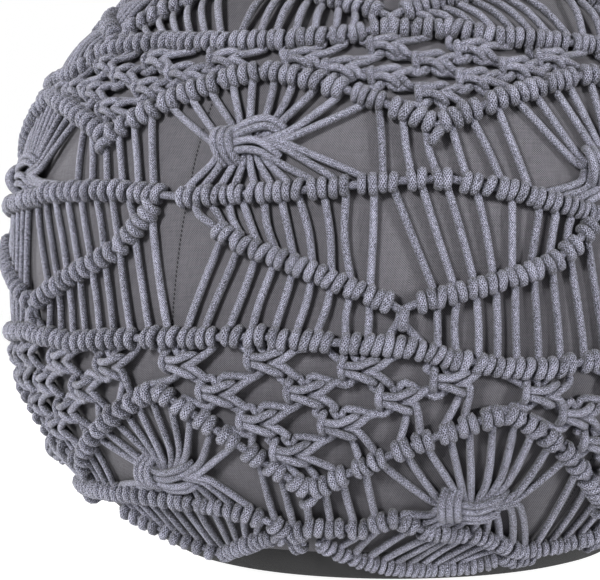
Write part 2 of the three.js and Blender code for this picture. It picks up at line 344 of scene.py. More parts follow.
# Cover cloth: the same, with waves of uneven yarn a millimetre, across a yarn and along it
WEAVE_PITCH = 1.15
SLUB_ACROSS, SLUB_ALONG = 0.9, 0.12
CLOTH_MIX = {"weave": 1.3, "slub": 0.5, "cloud": 0.3, "seam": 0.15, "less": 0.17}
CLOTH_RELIEF = {"weave": 0.6, "slub": 0.5, "seam": 1.2}
CLOTH_DARK = (0.029, 0.028, 0.033, 1)
CLOTH_PALE = (0.155, 0.149, 0.166, 1)
STITCH_DARK = (0.012, 0.012, 0.014, 1)
BASE_DARK = (0.005, 0.005, 0.006, 1)

# Studio, in metres: the share of the way up to which the world is white, how it fades, and its grey overhead
GLOW_TOP = 0.28
GLOW_FADE = 0.08
OVERHEAD = 0.02
FLOOR_SIZE = 6
FLOOR_DROP = 0.0005
FLOOR_GREYS = (0.30, 0.28)
FLOOR_GLOW = 0.95
# The floor glows, apart from a round patch before the pouf, so that less light comes from below
PATCH_MIDDLE = (0, -0.93, 0)
PATCH_RADIUS = 0.58
PATCH_FADE = 0.18
LIGHTS = {
    "key": {"place": (-0.8, -1.75, 0.80), "size": 0.45, "power": 43},
    "fill": {"place": (1.5, -1.5, 0.38), "size": 0.45, "power": 32},
    "rim": {"place": (-1.6, 0.35, 0.45), "size": 0.5, "power": 22},
    "back": {"place": (0.8, 1.8, 0.7), "size": 0.6, "power": 40},
}
LIGHT_AIM = (0, 0, 0.18)

# How uneven the handwork is, in millimetres and degrees
SEED = 7
TURN_UNEVEN = 0.22
ALONG_UNEVEN = 0.7
LEAN_UNEVEN = 0.45
SIZE_UNEVEN = 0.05  # share of a coil's size
COIL_UP_UNEVEN = 0.3
COIL_ASIDE_UNEVEN = 0.25
FAN_TURN_UNEVEN = 0.4
FAN_ALONG_UNEVEN = 0.8
BRAID_UNEVEN = 40  # how far the braids of two cords are out of step
# Bars rise and fall in waves round the pouf, and by a share of that in a few waves more
BAR_WOBBLE = 0.6
BAR_WAVES = 3  # on the first straight bar, and one more on each bar after it
ARCH_WAVES = 7
MORE_WAVES = 2
MORE_WOBBLE = 0.6


class Cover:
    """The smooth side of the cushion, from the rim of its flat base up to its crown."""

    def __init__(self, radius, middle, rise):
        start = -math.asin((middle / rise) ** (LOWER_FULLNESS / 2))
        angle = np.linspace(start, math.pi / 2, OUTLINE_STEPS + 1)
        power = 2 / np.where(angle > 0, UPPER_FULLNESS, LOWER_FULLNESS)
        self.radii = radius * np.cos(angle).clip(0) ** power
        self.heights = middle + rise * np.sign(angle) * np.abs(np.sin(angle)) ** power
        steps = np.hypot(np.diff(self.radii), np.diff(self.heights))
        self.alongs = np.concatenate([[0], np.cumsum(steps)])
        self.length = self.alongs[-1]
        self.outward = np.gradient(self.heights, self.alongs)
        self.upward = -np.gradient(self.radii, self.alongs)

    def radius(self, along):
        return np.interp(along, self.alongs, self.radii)

    def out(self, turn, along):
        """The direction straight off the cover."""
        angle = np.radians(turn)
        outward = np.interp(along, self.alongs, self.outward)
        upward = np.interp(along, self.alongs, self.upward)
        return np.stack([outward * np.sin(angle), -outward * np.cos(angle), upward], axis=-1)

    def place(self, turn, along, lift):
        angle = np.radians(turn)
        radius = self.radius(along)
        height = np.interp(along, self.alongs, self.heights)
        on_cover = np.stack([radius * np.sin(angle), -radius * np.cos(angle), height], axis=-1)
        return (on_cover + self.out(turn, along) * np.asarray(lift)[..., None]) * MM

    def row(self, turn, along, offset):
        """The row that lies right, up and lift millimetres from a place on the cover."""
        right, up, lift = offset
        return (turn + math.degrees(right / self.radius(along + up)), along + up, lift)

    def rows(self, turn, along, offsets):
        return [self.row(turn, along, offset) for offset in offsets]


def smooth(rows, spans):
    """A Catmull-Rom curve through the rows, with so many steps between two of them."""
    rows = np.asarray(rows, float)
    padded = np.vstack([2 * rows[0] - rows[1], rows, 2 * rows[-1] - rows[-2]])
    share = np.linspace(0, 1, spans, endpoint=False)[:, None]
    runs = []
    for before, here, there, after in zip(padded, padded[1:], padded[2:], padded[3:]):
        speed = (there - before) / 2
        bend = (2 * before - 5 * here + 4 * there - after) / 2
        twist = (3 * here - before - 3 * there + after) / 2
        runs.append(here + share * (speed + share * (bend + share * twist)))
    return np.vstack([*runs, rows[-1:]])


def joined(*ways):
    """The rows of several ways in one, with no jump of a full turn between them."""
    rows = np.array([row for way in ways for row in way])
    rows[:, 0] = np.unwrap(rows[:, 0], period=360)
    return rows


def unit(vectors):
    return vectors / np.linalg.norm(vectors, axis=-1, keepdims=True)


class CordPiece:
    """One piece of cord work: many short tubes of cord in one mesh, with a map along and round them.

    Each tube has a tone of its own, and each of its points tells how far it faces away from the cover, which
    paints shade on the cord.
    """

    def __init__(self, name):
        self.name = name
        self.points = []
        self.tones = []
        self.facing_shades = []
        self.faces = []
        self.maps = []
        self.count = 0

    def tube(self, line, facing, out, radius):
        """A closed tube along the line. At each of its points facing is across it, and out off the cover."""
        ahead = unit(np.gradient(line, axis=0))
        side = unit(np.cross(ahead, facing))
        up = np.cross(side, ahead)
        sides = CORD_SIDES
        angle = np.arange(sides) * 2 * math.pi / sides
        ring = np.cos(angle)[:, None] * up[:, None, :] + np.sin(angle)[:, None] * side[:, None, :]
        rings = len(line)
        self.points.append((line[:, None, :] + radius * MM * ring).reshape(-1, 3))
        self.tones.append(np.full(rings * sides, RANDOM.normal()))
        # How far each point faces away from the cover, used to paint shade into the cord's colour.
        self.facing_shades.append((ring * out[:, None, :]).sum(axis=-1).ravel())
        gone = np.linalg.norm(np.diff(line, axis=0), axis=1) / MM
        run = np.concatenate([[0], np.cumsum(gone)]) + RANDOM.uniform(0, BRAID_UNEVEN)

        i, j = np.meshgrid(np.arange(rings - 1), np.arange(sides), indexing="ij")
        i, j = i.ravel(), j.ravel()
        after = (j + 1) % sides
        base = self.count
        here, there = base + i * sides, base + (i + 1) * sides
        quads = np.stack([here + j, here + after, there + after, there + j], axis=1)
        self.faces.extend(quads.tolist())
        around = np.stack([j, j + 1, j + 1, j], axis=1) / sides
        along = np.stack([run[i], run[i], run[i + 1], run[i + 1]], axis=1)
        self.maps.append(np.stack([along, around], axis=-1).reshape(-1, 2))
        self.faces.append(list(range(base + sides - 1, base - 1, -1)))
        self.faces.append(list(range(base + (rings - 1) * sides, base + rings * sides)))
        self.maps.append(np.full((2 * sides, 2), 0.5))
        self.count += rings * sides

    def lay(self, rows, spans=3, radius=CORD_RADIUS):
        """A cord over the cover, through the rows."""
        rows = smooth(joined(rows), spans)
        line = COVER.place(*rows.T)
        LINES.append(line)
        out = COVER.out(rows[:, 0], rows[:, 1])
        self.tube(line, out, out, radius)

    def finish(self, material):
        mesh = bpy.data.meshes.new(self.name)
        mesh.from_pydata(np.vstack(self.points).tolist(), [], self.faces)
        layer = mesh.uv_layers.new(name="cord_map")
        layer.data.foreach_set("uv", np.vstack(self.maps).ravel())
        for name, values in (("tone", self.tones), ("facing_shade", self.facing_shades)):
            attribute = mesh.attributes.new(name, "FLOAT", "POINT")
            attribute.data.foreach_set("value", np.concatenate(values))
        mesh.shade_smooth()
        add_piece(self.name, mesh, material, "cord_net")


def add_object(name, data):
    thing = bpy.data.objects.new(name, data)
    bpy.context.scene.collection.objects.link(thing)
    return thing


def add_piece(name, mesh, material, node):
    piece = add_object(name, mesh)
    mesh.materials.append(material)
    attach(piece, "root")
    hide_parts(node)
    return piece


class Bar:
    """A bar of hitches: a holding cord on a path over the cover, and the coils of the cords hitched to it."""

    def __init__(self, path, turns, lean, coils=2, hitch=HITCH, width=COIL_WIDTH, loose_step=LOOSE_STEP):
        self.path = path
        self.turns = np.asarray(turns, float)
        self.lean = lean
        self.coils = coils
        self.arrive, self.leave = hitch
        self.width = width
        self.loose_step = loose_step

    def turn(self, cord):
        """Where a cord crosses the bar. Cords are counted on past the last one for the next time round."""
        rounds, index = divmod(cord, len(self.turns))
        return self.turns[index] + 360 * rounds

    def slope(self, turn):
        """Unit step right and up along the bar."""
        step = 0.3
        run = math.radians(2 * step) * COVER.radius(self.path(turn))
        rise = self.path(turn + step) - self.path(turn - step)
        length = math.hypot(run, rise)
        return run / length, rise / length

    def beside(self, turn, ahead, up, lift):
        """The row that is so far along the bar, and then so far straight up the cover, in millimetres."""
        right, rise = self.slope(turn)
        return COVER.row(turn, self.path(turn), (ahead * right, ahead * rise + up, lift))

    def arriving(self, cord):
        """Rows of a cord that comes down to the bar and goes behind its coils."""
        turn = self.turn(cord)
        places = (HITCH_OUTSIDE, HITCH_BEHIND)
        return [self.beside(turn, self.arrive * share, up, lift) for share, up, lift in places]

    def leaving(self, cord):
        turn = self.turn(cord)
        places = (HITCH_BEHIND, HITCH_OUTSIDE)
        return [self.beside(turn, self.leave * share, -down, lift) for share, down, lift in places]

    def pitch(self, index):
        """Distance from a cord to its nearer neighbour on the bar."""
        gaps = np.abs(np.diff(self.turns))
        near = min(gaps[max(index - 1, 0)], gaps[min(index, len(gaps) - 1)])
        return math.radians(near) * (COVER.radius(self.path(self.turns[index])) + COIL_MIDDLE)

    def coil(self, piece, turn, offset, width, lean, up=0.0):
        """One coil of cord round the bar, so far along it from a turn and so far above it."""
        right, rise = self.slope(turn)
        along = self.path(turn) + up
        out = COVER.out(turn, along)
        spin = math.radians(turn)
        flat = np.array([math.cos(spin), math.sin(spin), 0])
        ahead = flat * right + np.cross(out, flat) * rise
        across = np.cross(out, ahead)
        size = 1 + RANDOM.normal() * SIZE_UNEVEN
        half = COIL_HALF_HEIGHT * size * np.cos(COIL_ANGLES) + RANDOM.normal() * COIL_UP_UNEVEN
        lift = COIL_MIDDLE + COIL_DEPTH * size * np.sin(COIL_ANGLES)
        aside = offset + RANDOM.normal() * COIL_ASIDE_UNEVEN
        aside = aside + (lean + RANDOM.normal() * LEAN_UNEVEN) * np.cos(COIL_ANGLES)
        local = np.outer(half, across) + np.outer(lift, out) + np.outer(aside, ahead)
        line = COVER.place(turn, along, 0.0) + local * MM
        piece.tube(line, np.broadcast_to(ahead, line.shape), np.broadcast_to(out, line.shape), width / 2)

    def make(self, piece, ends=None):
        """The bar's coils, and its holding cord from end to end if that is one of its own."""
        loose = [turn for turn in self.turns if is_loose(turn)]
        for index, turn in enumerate(self.turns):
            if is_loose(turn):
                continue
            width = min(self.width, self.pitch(index) / self.coils * COIL_SQUEEZE)
            for coil in range(self.coils):
                self.coil(piece, turn, (coil - (self.coils - 1) / 2) * width, width, self.lean)
        for here, there in zip(self.turns, self.turns[1:]):
            middle = (here + there) / 2
            right, _ = self.slope(middle)
            distance = math.radians(there - here) * COVER.radius(self.path(middle)) / right
            space = distance - self.coils * self.width
            if SPARE_SPACE[0] < space < SPARE_SPACE[1] and not is_loose(middle):
                self.coil(piece, middle, 0, COIL_WIDTH, self.lean)
        if loose:
            self.make_loose(piece, min(loose), max(loose))
        if ends:
            piece.lay(self.holding(*ends), 1, HOLDING_RADIUS)

    def make_loose(self, piece, turn, last):
        """Single coils from one turn to another, and on up to the next cord that has coils of its own."""
        after = self.turns[self.turns > last]
        if len(after):
            last = after.min() - LOOSE_GAP
        while turn <= last:
            self.coil(piece, turn, 0, LOOSE_WIDTH, self.lean)
            right, _ = self.slope(turn)
            turn += math.degrees(self.loose_step * right / COVER.radius(self.path(turn)))

    def holding(self, first, last):
        """Rows of the cord that the coils are hitched on."""
        count = max(int(abs(last - first) / HOLDING_STEP), 2)
        return [(turn, self.path(turn), COIL_MIDDLE) for turn in np.linspace(first, last, count + 1)]


def is_loose(turn):
    return LOOSE_TURNS[0] < angle_from(turn, 0) < LOOSE_TURNS[1]


def uneven(count, size):
    return RANDOM.normal(size=count) * size


def wobble(turn, waves):
    """The slow rise and fall of a bar round the pouf."""
    angle = math.radians(turn)
    more = math.sin((waves + MORE_WAVES) * angle + 1)
    return BAR_WOBBLE * math.sin(waves * angle + waves) + BAR_WOBBLE * MORE_WOBBLE * more


def swayed(points):
    """A measure that changes round the pouf, worked out between a few turns and kept beyond them."""
    turns, changes = zip(*points)
    return lambda turn: np.interp(angle_from(turn, 0), turns, changes)


def straight_path(facts, waves):
    sway = swayed(facts["sway"])
    return lambda turn: facts["along"] + sway(turn) + wobble(turn, waves)


def arch_path(arch):
    """Arches with their valleys between the fans, where the path turns back up sharply."""
    first = FIRST_TURN + arch["shift"] * CORD_STEP
    pitch = FAN_CORDS * CORD_STEP
    sway = swayed(arch["sway"])

    def path(turn):
        share = ((turn - first) / pitch) % 1
        side = arch["top"] if share < arch["top"] else 1 - arch["top"]
        rise = 1 - (abs(share - arch["top"]) / side) ** arch["round"]
        height = arch["valley"] + (arch["peak"] - arch["valley"]) * rise
        return height + sway(turn) + wobble(turn, ARCH_WAVES)

    return path


def straight_strand(piece, upper, lower, cord, under, spans=3, lift=STRAND_LIFT):
    """A cord that runs from its place on one bar to a place on another, with a slight bow."""
    rows = joined(upper.leaving(cord), lower.arriving(under))
    middle = (rows[1] + rows[2]) / 2
    middle[0] += RANDOM.normal() * STRAND_BOW
    middle[2] = lift
    short = rows[1][1] - rows[2][1] < SHORT_STRAND
    piece.lay([rows[0], middle, rows[3]] if short else [*rows[:2], middle, *rows[2:]], spans)


def make_vees(name, upper, lower, material):
    """A band of V bars between two straight bars.

    A V's outermost cords hold its coils, cross where its arms meet, and go on between them to the bar below.
    """
    band = VEE_BANDS[name]
    bars = CordPiece(f"vee_bars_{name}")
    strands = CordPiece(f"vee_cords_{name}")
    first = band["first"]
    for count, climb in band["vees"]:
        last = first + count
        edges = [(upper.turn(cord - 1) + upper.turn(cord)) / 2 for cord in (first, last)]
        middle = sum(edges) / 2
        half = (edges[1] - edges[0]) / 2
        valley = middle + half * band["valley"]
        shares = {cord: (2 * (cord - first) + 1) / count - 1 for cord in range(first, last)}
        hitched = range(first + 1, last - 1)
        cords = {"left": [cord for cord in hitched if shares[cord] <= band["split"]]}
        cords["right"] = [cord for cord in hitched if shares[cord] > band["split"]]
        crossing = first + 1 + len(cords["left"])
        arms = {}
        for side, start in (("left", first + 1), ("right", crossing + 2)):
            arm = {"climb": climb} | band[side]
            turns = [middle + half * (arm["move"] + arm["scale"] * shares[cord]) for cord in cords[side]]
            path = arm_path(band["point"], arm, valley, half, upper)
            arms[side] = Bar(path, turns, SLANTED_LEAN, hitch=arm["hitch"])
            arms[side].make(bars)
            for place, cord in enumerate(cords[side]):
                straight_strand(strands, upper, arms[side], cord, place, lift=band["lift"])
                straight_strand(strands, arms[side], lower, place, start + place, lift=band["lift"])
        for side, aside, up, lean in VALLEY_COILS:
            arms[side].coil(bars, valley + aside, 0, COIL_WIDTH, lean, up)
        hold_arm(bars, arms["left"], valley, upper, first, lower, crossing + 1, VALLEY_OVER)
        hold_arm(bars, arms["right"], valley, upper, last - 1, lower, crossing, VALLEY_UNDER)
        first = last
    bars.finish(material)
    strands.finish(material)


def arm_path(point, arm, valley, half, upper):
    """One arm of a V, from its point up to the bar that it hangs from."""

    def path(turn):
        share = abs(turn - valley) / half
        height = point + arm["climb"] * share + arm["curl"] * max(share - arm["bend"], 0) ** 2
        return min(height, upper.path(turn) - ARM_DROP)

    return path


def hold_arm(piece, bar, valley, upper, cord, lower, under, crossing):
    """The holding cord of a V's arm: from the bar above along the arm, across the other arm, and down."""
    start = upper.turn(cord)
    start += math.copysign(HOLDING_START, valley - start)
    meeting = bar.path(valley)
    turned = [(valley + aside, meeting + up, lift) for aside, up, lift in crossing]
    along_arm = bar.holding(start, valley - math.copysign(HOLDING_START, valley - start))
    way = joined(upper.leaving(cord)[:1], along_arm, turned, lower.arriving(under))
    piece.lay(way, radius=HOLDING_RADIUS)


def angle_from(turn, middle):
    return (turn - middle + 180) % 360 - 180


def make_knot_band(name, bar, arch, material):
    """Square knots between a straight bar and the arches: each row has one knot fewer than the one above."""
    piece = CordPiece(f"square_knots_{name}")
    facts = ARCHES[name]
    band = KNOT_BANDS[name]
    for fan in range(FANS):
        first = fan * FAN_CORDS - FAN_CORDS // 2 + facts["shift"]
        cords = [first + c for c in range(FAN_CORDS)]
        ways = [bar.leaving(cord) for cord in cords]
        valley = FIRST_TURN + (first + FAN_CORDS / 2) * CORD_STEP
        last = arch.path(valley) + band["rise"]
        for row in range(KNOT_ROWS):
            for knot in range(KNOT_ROWS - row):
                start = 2 * row + KNOT_CORDS * knot
                turn = FIRST_TURN + (first + start + KNOT_CORDS / 2) * CORD_STEP
                top = bar.path(turn) - band["drop"]
                along = top - row * (top - last) / (KNOT_ROWS - 1) + RANDOM.normal() * ALONG_UNEVEN
                slip = band["slant"] * (row - (KNOT_ROWS - 1) / 2)
                turn += band["aside"] + slip + RANDOM.normal() * TURN_UNEVEN
                tie_square_knot(piece, ways, start, turn, along, band)
        for way, cord in zip(ways, cords):
            piece.lay([*way[:2], *arch.arriving(cord)])
    piece.finish(material)


def tie_square_knot(piece, ways, start, turn, along, band):
    """A square knot in four cords. Their ways end in it, and new ones start under it."""

    def rows(offsets):
        sized = [(right * band["width"], up * band["height"], lift) for right, up, lift in offsets]
        return COVER.rows(turn, along, sized)

    for offsets in KNOT_TUBES:
        piece.lay(rows(offsets))
    for cord in range(KNOT_CORDS):
        piece.lay([*ways[start + cord], *rows(KNOT_ARRIVE[cord])])
        ways[start + cord] = rows(KNOT_LEAVE[cord])


def make_fans(name, arch, lower, material):
    """Fans under the arches: a large knot in the middle of each, and straight cords between them."""
    knots = CordPiece(f"fan_knots_{name}")
    strands = CordPiece(f"fan_cords_{name}")
    facts = ARCHES[name]
    for fan in range(FANS):
        first = fan * FAN_CORDS + facts["shift"]
        cords = [first + c for c in range(FAN_CORDS)]
        turn = FIRST_TURN + (first + FAN_CORDS / 2) * CORD_STEP + RANDOM.normal() * FAN_TURN_UNEVEN
        along = facts["knot"] + swayed(facts["knot_sway"])(turn) + RANDOM.normal() * FAN_ALONG_UNEVEN
        for shift in FAN_WRAP_SHIFTS:
            wrap = [(right + shift, up, lift) for right, up, lift in FAN_WRAP]
            knots.lay(COVER.rows(turn, along, wrap), KNOT_SPANS, FAN_WRAP_RADIUS)
        for offsets in FAN_ACROSS[name]:
            knots.lay(COVER.rows(turn, along, offsets), KNOT_SPANS)
        for c, cord in enumerate(cords):
            ray = c - FAN_FIRST
            if 0 <= ray < len(FAN_ARRIVE):
                strands.lay([*arch.leaving(cord), *COVER.rows(turn, along, FAN_ARRIVE[ray])])
                strands.lay([*COVER.rows(turn, along, FAN_LEAVE[ray]), *lower.arriving(cord)])
            else:
                straight_strand(strands, arch, lower, cord, cord)
    knots.finish(material)
    strands.finish(material)


def make_top_cords(collar, crown, material):
    """Plain cords on top of the pouf, from the collar out to the first bar."""
    piece = CordPiece("top_cords")
    for cord in range(len(collar.turns)):
        straight_strand(piece, collar, crown, cord, 2 * cord, TOP_SPANS)
    piece.finish(material)


def make_net(material):
    """The whole net: the bands from the top down, and then the bars between them."""
    turns = FIRST_TURN + (np.arange(CORDS) + 0.5) * CORD_STEP
    bars = {}
    for waves, (name, facts) in enumerate(STRAIGHT_BARS.items(), BAR_WAVES):
        places = turns[::2] if name == "collar" else turns
        spread = places + uneven(len(places), TURN_UNEVEN)
        if name in DRIFT:
            spread = spread + np.array([swayed(DRIFT[name])(place) for place in places])
        if name == "upper":
            spread = spread + parting(places)
        bars[name] = Bar(straight_path(facts, waves), spread, facts["lean"], facts["coils"])
    arches = {}
    for name, facts in ARCHES.items():
        arches[name] = Bar(
            arch_path(facts),
            turns + uneven(CORDS, TURN_UNEVEN),
            SLANTED_LEAN,
            hitch=ARCH_HITCH,
            width=ARCH_COIL,
            loose_step=facts["loose"],
        )
    make_top_cords(bars["collar"], bars["crown"], material)
    make_vees("crown", bars["crown"], bars["shoulder"], material)
    make_knot_band("high", bars["shoulder"], arches["high"], material)
    make_fans("high", arches["high"], bars["upper"], material)
    make_vees("middle", bars["upper"], bars["lower"], material)
    make_knot_band("low", bars["lower"], arches["low"], material)
    make_fans("low", arches["low"], bars["skirt"], material)
    make_hem(bars["skirt"], material)
    for name, bar in bars.items():
        piece = CordPiece(f"bar_{name}")
        bar.make(piece, (FIRST_TURN, FIRST_TURN + 360))
        piece.finish(material)
    for name, bar in arches.items():
        piece = CordPiece(f"arches_{name}")
        bar.make(piece, (FIRST_TURN, FIRST_TURN + 360))
        for fan in range(FANS):
            valley = FIRST_TURN + (fan * FAN_CORDS + ARCHES[name]["shift"]) * CORD_STEP
            bar.coil(piece, valley + ARCH_BEAD["aside"], 0, COIL_WIDTH, ARCH_BEAD["lean"], ARCH_BEAD["up"])
        piece.finish(material)


def parting(turns):
    """How far cords on the upper bar stand aside from the windows under it."""
    band = VEE_BANDS["middle"]
    firsts = band["first"] + np.cumsum([count for count, _ in band["vees"]])
    windows = FIRST_TURN + firsts * CORD_STEP
    away = np.stack([angle_from(turns, window) for window in windows])
    nearest = np.take_along_axis(away, np.abs(away).argmin(axis=0)[None], axis=0)[0]
    return np.sign(nearest) * PARTING * np.exp(-((nearest / PARTING_REACH) ** 2))


def make_hem(skirt, material):
    """V bars under the lowest bar, which the cords end on. Some are pulled round to the left."""
    bars = CordPiece("vee_bars_hem")
    strands = CordPiece("vee_cords_hem")
    half = FAN_CORDS / 2 * CORD_STEP
    for fan, slant in enumerate(HEM["slants"]):
        first = fan * FAN_CORDS + LOW_FAN_SHIFT
        centre = FIRST_TURN + (LOW_FAN_SHIFT + FAN_CORDS * (fan + 0.5)) * CORD_STEP
        middle = centre + slant
        places = [middle + half * HEM["spread"] * (2 * (c + 0.5) / FAN_CORDS - 1) for c in range(FAN_CORDS)]
        bar = Bar(hem_path(centre, middle, half, skirt), places, HEM["lean"], hitch=(0, 0))
        bar.make(bars, (middle - half * HEM["spread"], middle + half * HEM["spread"]))
        for c in range(FAN_CORDS):
            straight_strand(strands, skirt, bar, first + c, c)
    bars.finish(material)
    strands.finish(material)


def hem_path(centre, middle, half, skirt):
    """One V of the hem, under the middle of a fan or beside it."""
    point = HEM["point"] + swayed(HEM["sway"])(centre)
    bend = swayed(HEM["round"])(centre)

    def path(turn):
        share = abs(turn - middle) / half
        height = point + (HEM["end"] - HEM["point"]) * share**bend
        return min(height, skirt.path(turn) - HEM["drop"])

    return path


def finished_mesh(shape, name):
    mesh = bpy.data.meshes.new(name)
    shape.to_mesh(mesh)
    shape.free()
    return mesh


def values_of(items, name, width=1, kind=float):
    """What each of a mesh's points, corners or faces has under a name, with so many numbers in each."""
    values = np.empty(len(items) * width, kind)
    items.foreach_get(name, values)
    return values.reshape(-1, width).squeeze()


def turn_of(places):
    return np.degrees(np.arctan2(places[:, 0], -places[:, 1]))


def make_cushion(material):
    """The filled cushion: its outline spun round, pressed in under the cords and swollen between them."""
    shape = bmesh.new()
    share = np.linspace(0, 1, COVER_ROWS + 1)
    profile = COVER.place(np.zeros_like(share), share * COVER.length * CROWN_STOP, np.zeros_like(share))
    outline = [shape.verts.new((0, 0, 0))]
    outline += [shape.verts.new(point) for point in profile]
    outline.append(shape.verts.new((0, 0, profile[-1][2])))
    edges = [shape.edges.new(pair) for pair in zip(outline, outline[1:])]
    bmesh.ops.spin(
        shape,
        geom=outline + edges,
        axis=(0, 0, 1),
        cent=(0, 0, 0),
        angle=2 * math.pi,
        steps=COVER_COLUMNS,
        use_merge=True,
    )
    bmesh.ops.remove_doubles(shape, verts=shape.verts, dist=1e-6)
    bmesh.ops.recalc_face_normals(shape, faces=shape.faces)
    mesh = finished_mesh(shape, "cushion_cover")
    map_cover(mesh)
    mesh.shade_smooth()
    piece = add_piece("cushion_cover", mesh, material, "cushion")
    swell_cover(piece)
    finer = piece.modifiers.new("finer", "SUBSURF")
    finer.levels = finer.render_levels = 1


def cover_rows(mesh):
    """The points of the cushion's mesh, their turns and alongs, and which of them lie on the flat base."""
    points = values_of(mesh.vertices, "co", 3)
    radius = np.hypot(points[:, 0], points[:, 1]) / MM
    height = points[:, 2] / MM
    middle = np.argmax(COVER.radii)
    low = np.interp(height, COVER.heights, COVER.alongs)
    flat = np.interp(-radius, -COVER.radii[middle:], COVER.alongs[middle:])
    along = np.where(height > CUSHION_MIDDLE + CROWN_RISE, flat, low)
    base = (height < TOUCH) & (radius < COVER.radii[0] - TOUCH)
    return points, turn_of(points), along, base


def seam_turn(along, seam):
    return FIRST_SEAM + seam * 360 / GORES + SEAM_LEAN * (along - SEAM_STRAIGHT)


def swell_cover(piece):
    """The filling's pressure swells the cover between the cords of the net, which hold it in."""
    mesh = piece.data
    points, turn, along, base = cover_rows(mesh)
    cords = np.vstack(LINES)
    tree = KDTree(len(cords))
    for index, point in enumerate(cords):
        tree.insert(point, index)
    tree.balance()
    near = np.array([tree.find(point)[2] for point in points]) / MM
    share = along / COVER.length
    ends = np.clip(np.minimum(share * BASE_FADE, (1 - share) * CROWN_FADE), 0, 1)
    press = np.exp(-((near / PRESS_REACH) ** 2)) * ends
    out = COVER.out(turn, along)
    pressed = points - out * press[:, None] * PRESS_DEPTH * MM
    mesh.vertices.foreach_set("co", pressed.ravel())
    held = piece.vertex_groups.new(name="held")
    still = np.flatnonzero(base | (near < PRESS_REACH) | (ends < HELD_SHARE))
    held.add(still.tolist(), 1.0, "REPLACE")
    swollen = blown_up(piece, "held")
    rise = np.clip(((swollen - pressed) * out).sum(axis=1) / MM, 0, SWELL_LIMIT) * ends
    pressed = pressed + out * rise[:, None] * MM
    piece.vertex_groups.remove(held)
    pressed[:, 2] = np.maximum(pressed[:, 2], 0)
    mesh.vertices.foreach_set("co", pressed.ravel())
    mesh.update()


def blown_up(piece, held):
    """Points of a closed piece of cloth under pressure from inside, with a group of its points held."""
    cloth = piece.modifiers.new("swell", "CLOTH")
    cloth.settings.quality = SWELL_QUALITY
    cloth.settings.use_pressure = True
    cloth.settings.uniform_pressure_force = PRESSURE
    cloth.settings.vertex_group_mass = held
    cloth.settings.effector_weights.gravity = 0
    cloth.point_cache.frame_start = 1
    cloth.point_cache.frame_end = SWELL_FRAMES
    for frame_number in range(1, SWELL_FRAMES + 1):
        bpy.context.scene.frame_set(frame_number)
    blown = piece.evaluated_get(bpy.context.evaluated_depsgraph_get()).data
    points = values_of(blown.vertices, "co", 3)
    piece.modifiers.remove(cloth)
    bpy.context.scene.frame_set(1)
    return points


def map_cover(mesh):
    """A map in millimetres: round the cover from the nearest seam, and up it from the base's rim."""
    _, turn, along, _ = cover_rows(mesh)
    layer = mesh.uv_layers.new(name="cover_map")
    corners = values_of(mesh.loops, "vertex_index", kind=int)
    totals = values_of(mesh.polygons, "loop_total", kind=int)
    face_turn = turn_of(values_of(mesh.polygons, "center", 3))
    first = np.cumsum(totals) - totals
    face_along = np.add.reduceat(along[corners], first) / totals
    seam = np.round((face_turn - seam_turn(face_along, 0)) * GORES / 360)
    away = angle_from(turn[corners], seam_turn(along[corners], np.repeat(seam, totals)))
    across = np.radians(away) * COVER.radius(along[corners])
    layer.data.foreach_set("uv", np.stack([across, along[corners]], axis=1).ravel())


class Value:
    """A shader socket that takes part in Python sums."""

    def __init__(self, shader, socket):
        self.shader = shader
        self.socket = socket

    def __add__(self, other):
        return self.shader.math("ADD", self, other)

    __radd__ = __add__

    def __sub__(self, other):
        return self.shader.math("SUBTRACT", self, other)

    def __rsub__(self, other):
        return self.shader.math("SUBTRACT", other, self)

    def __mul__(self, other):
        return self.shader.math("MULTIPLY", self, other)

    __rmul__ = __mul__

    def __truediv__(self, other):
        return self.shader.math("DIVIDE", self, other)

    def __rtruediv__(self, other):
        return self.shader.math("DIVIDE", other, self)


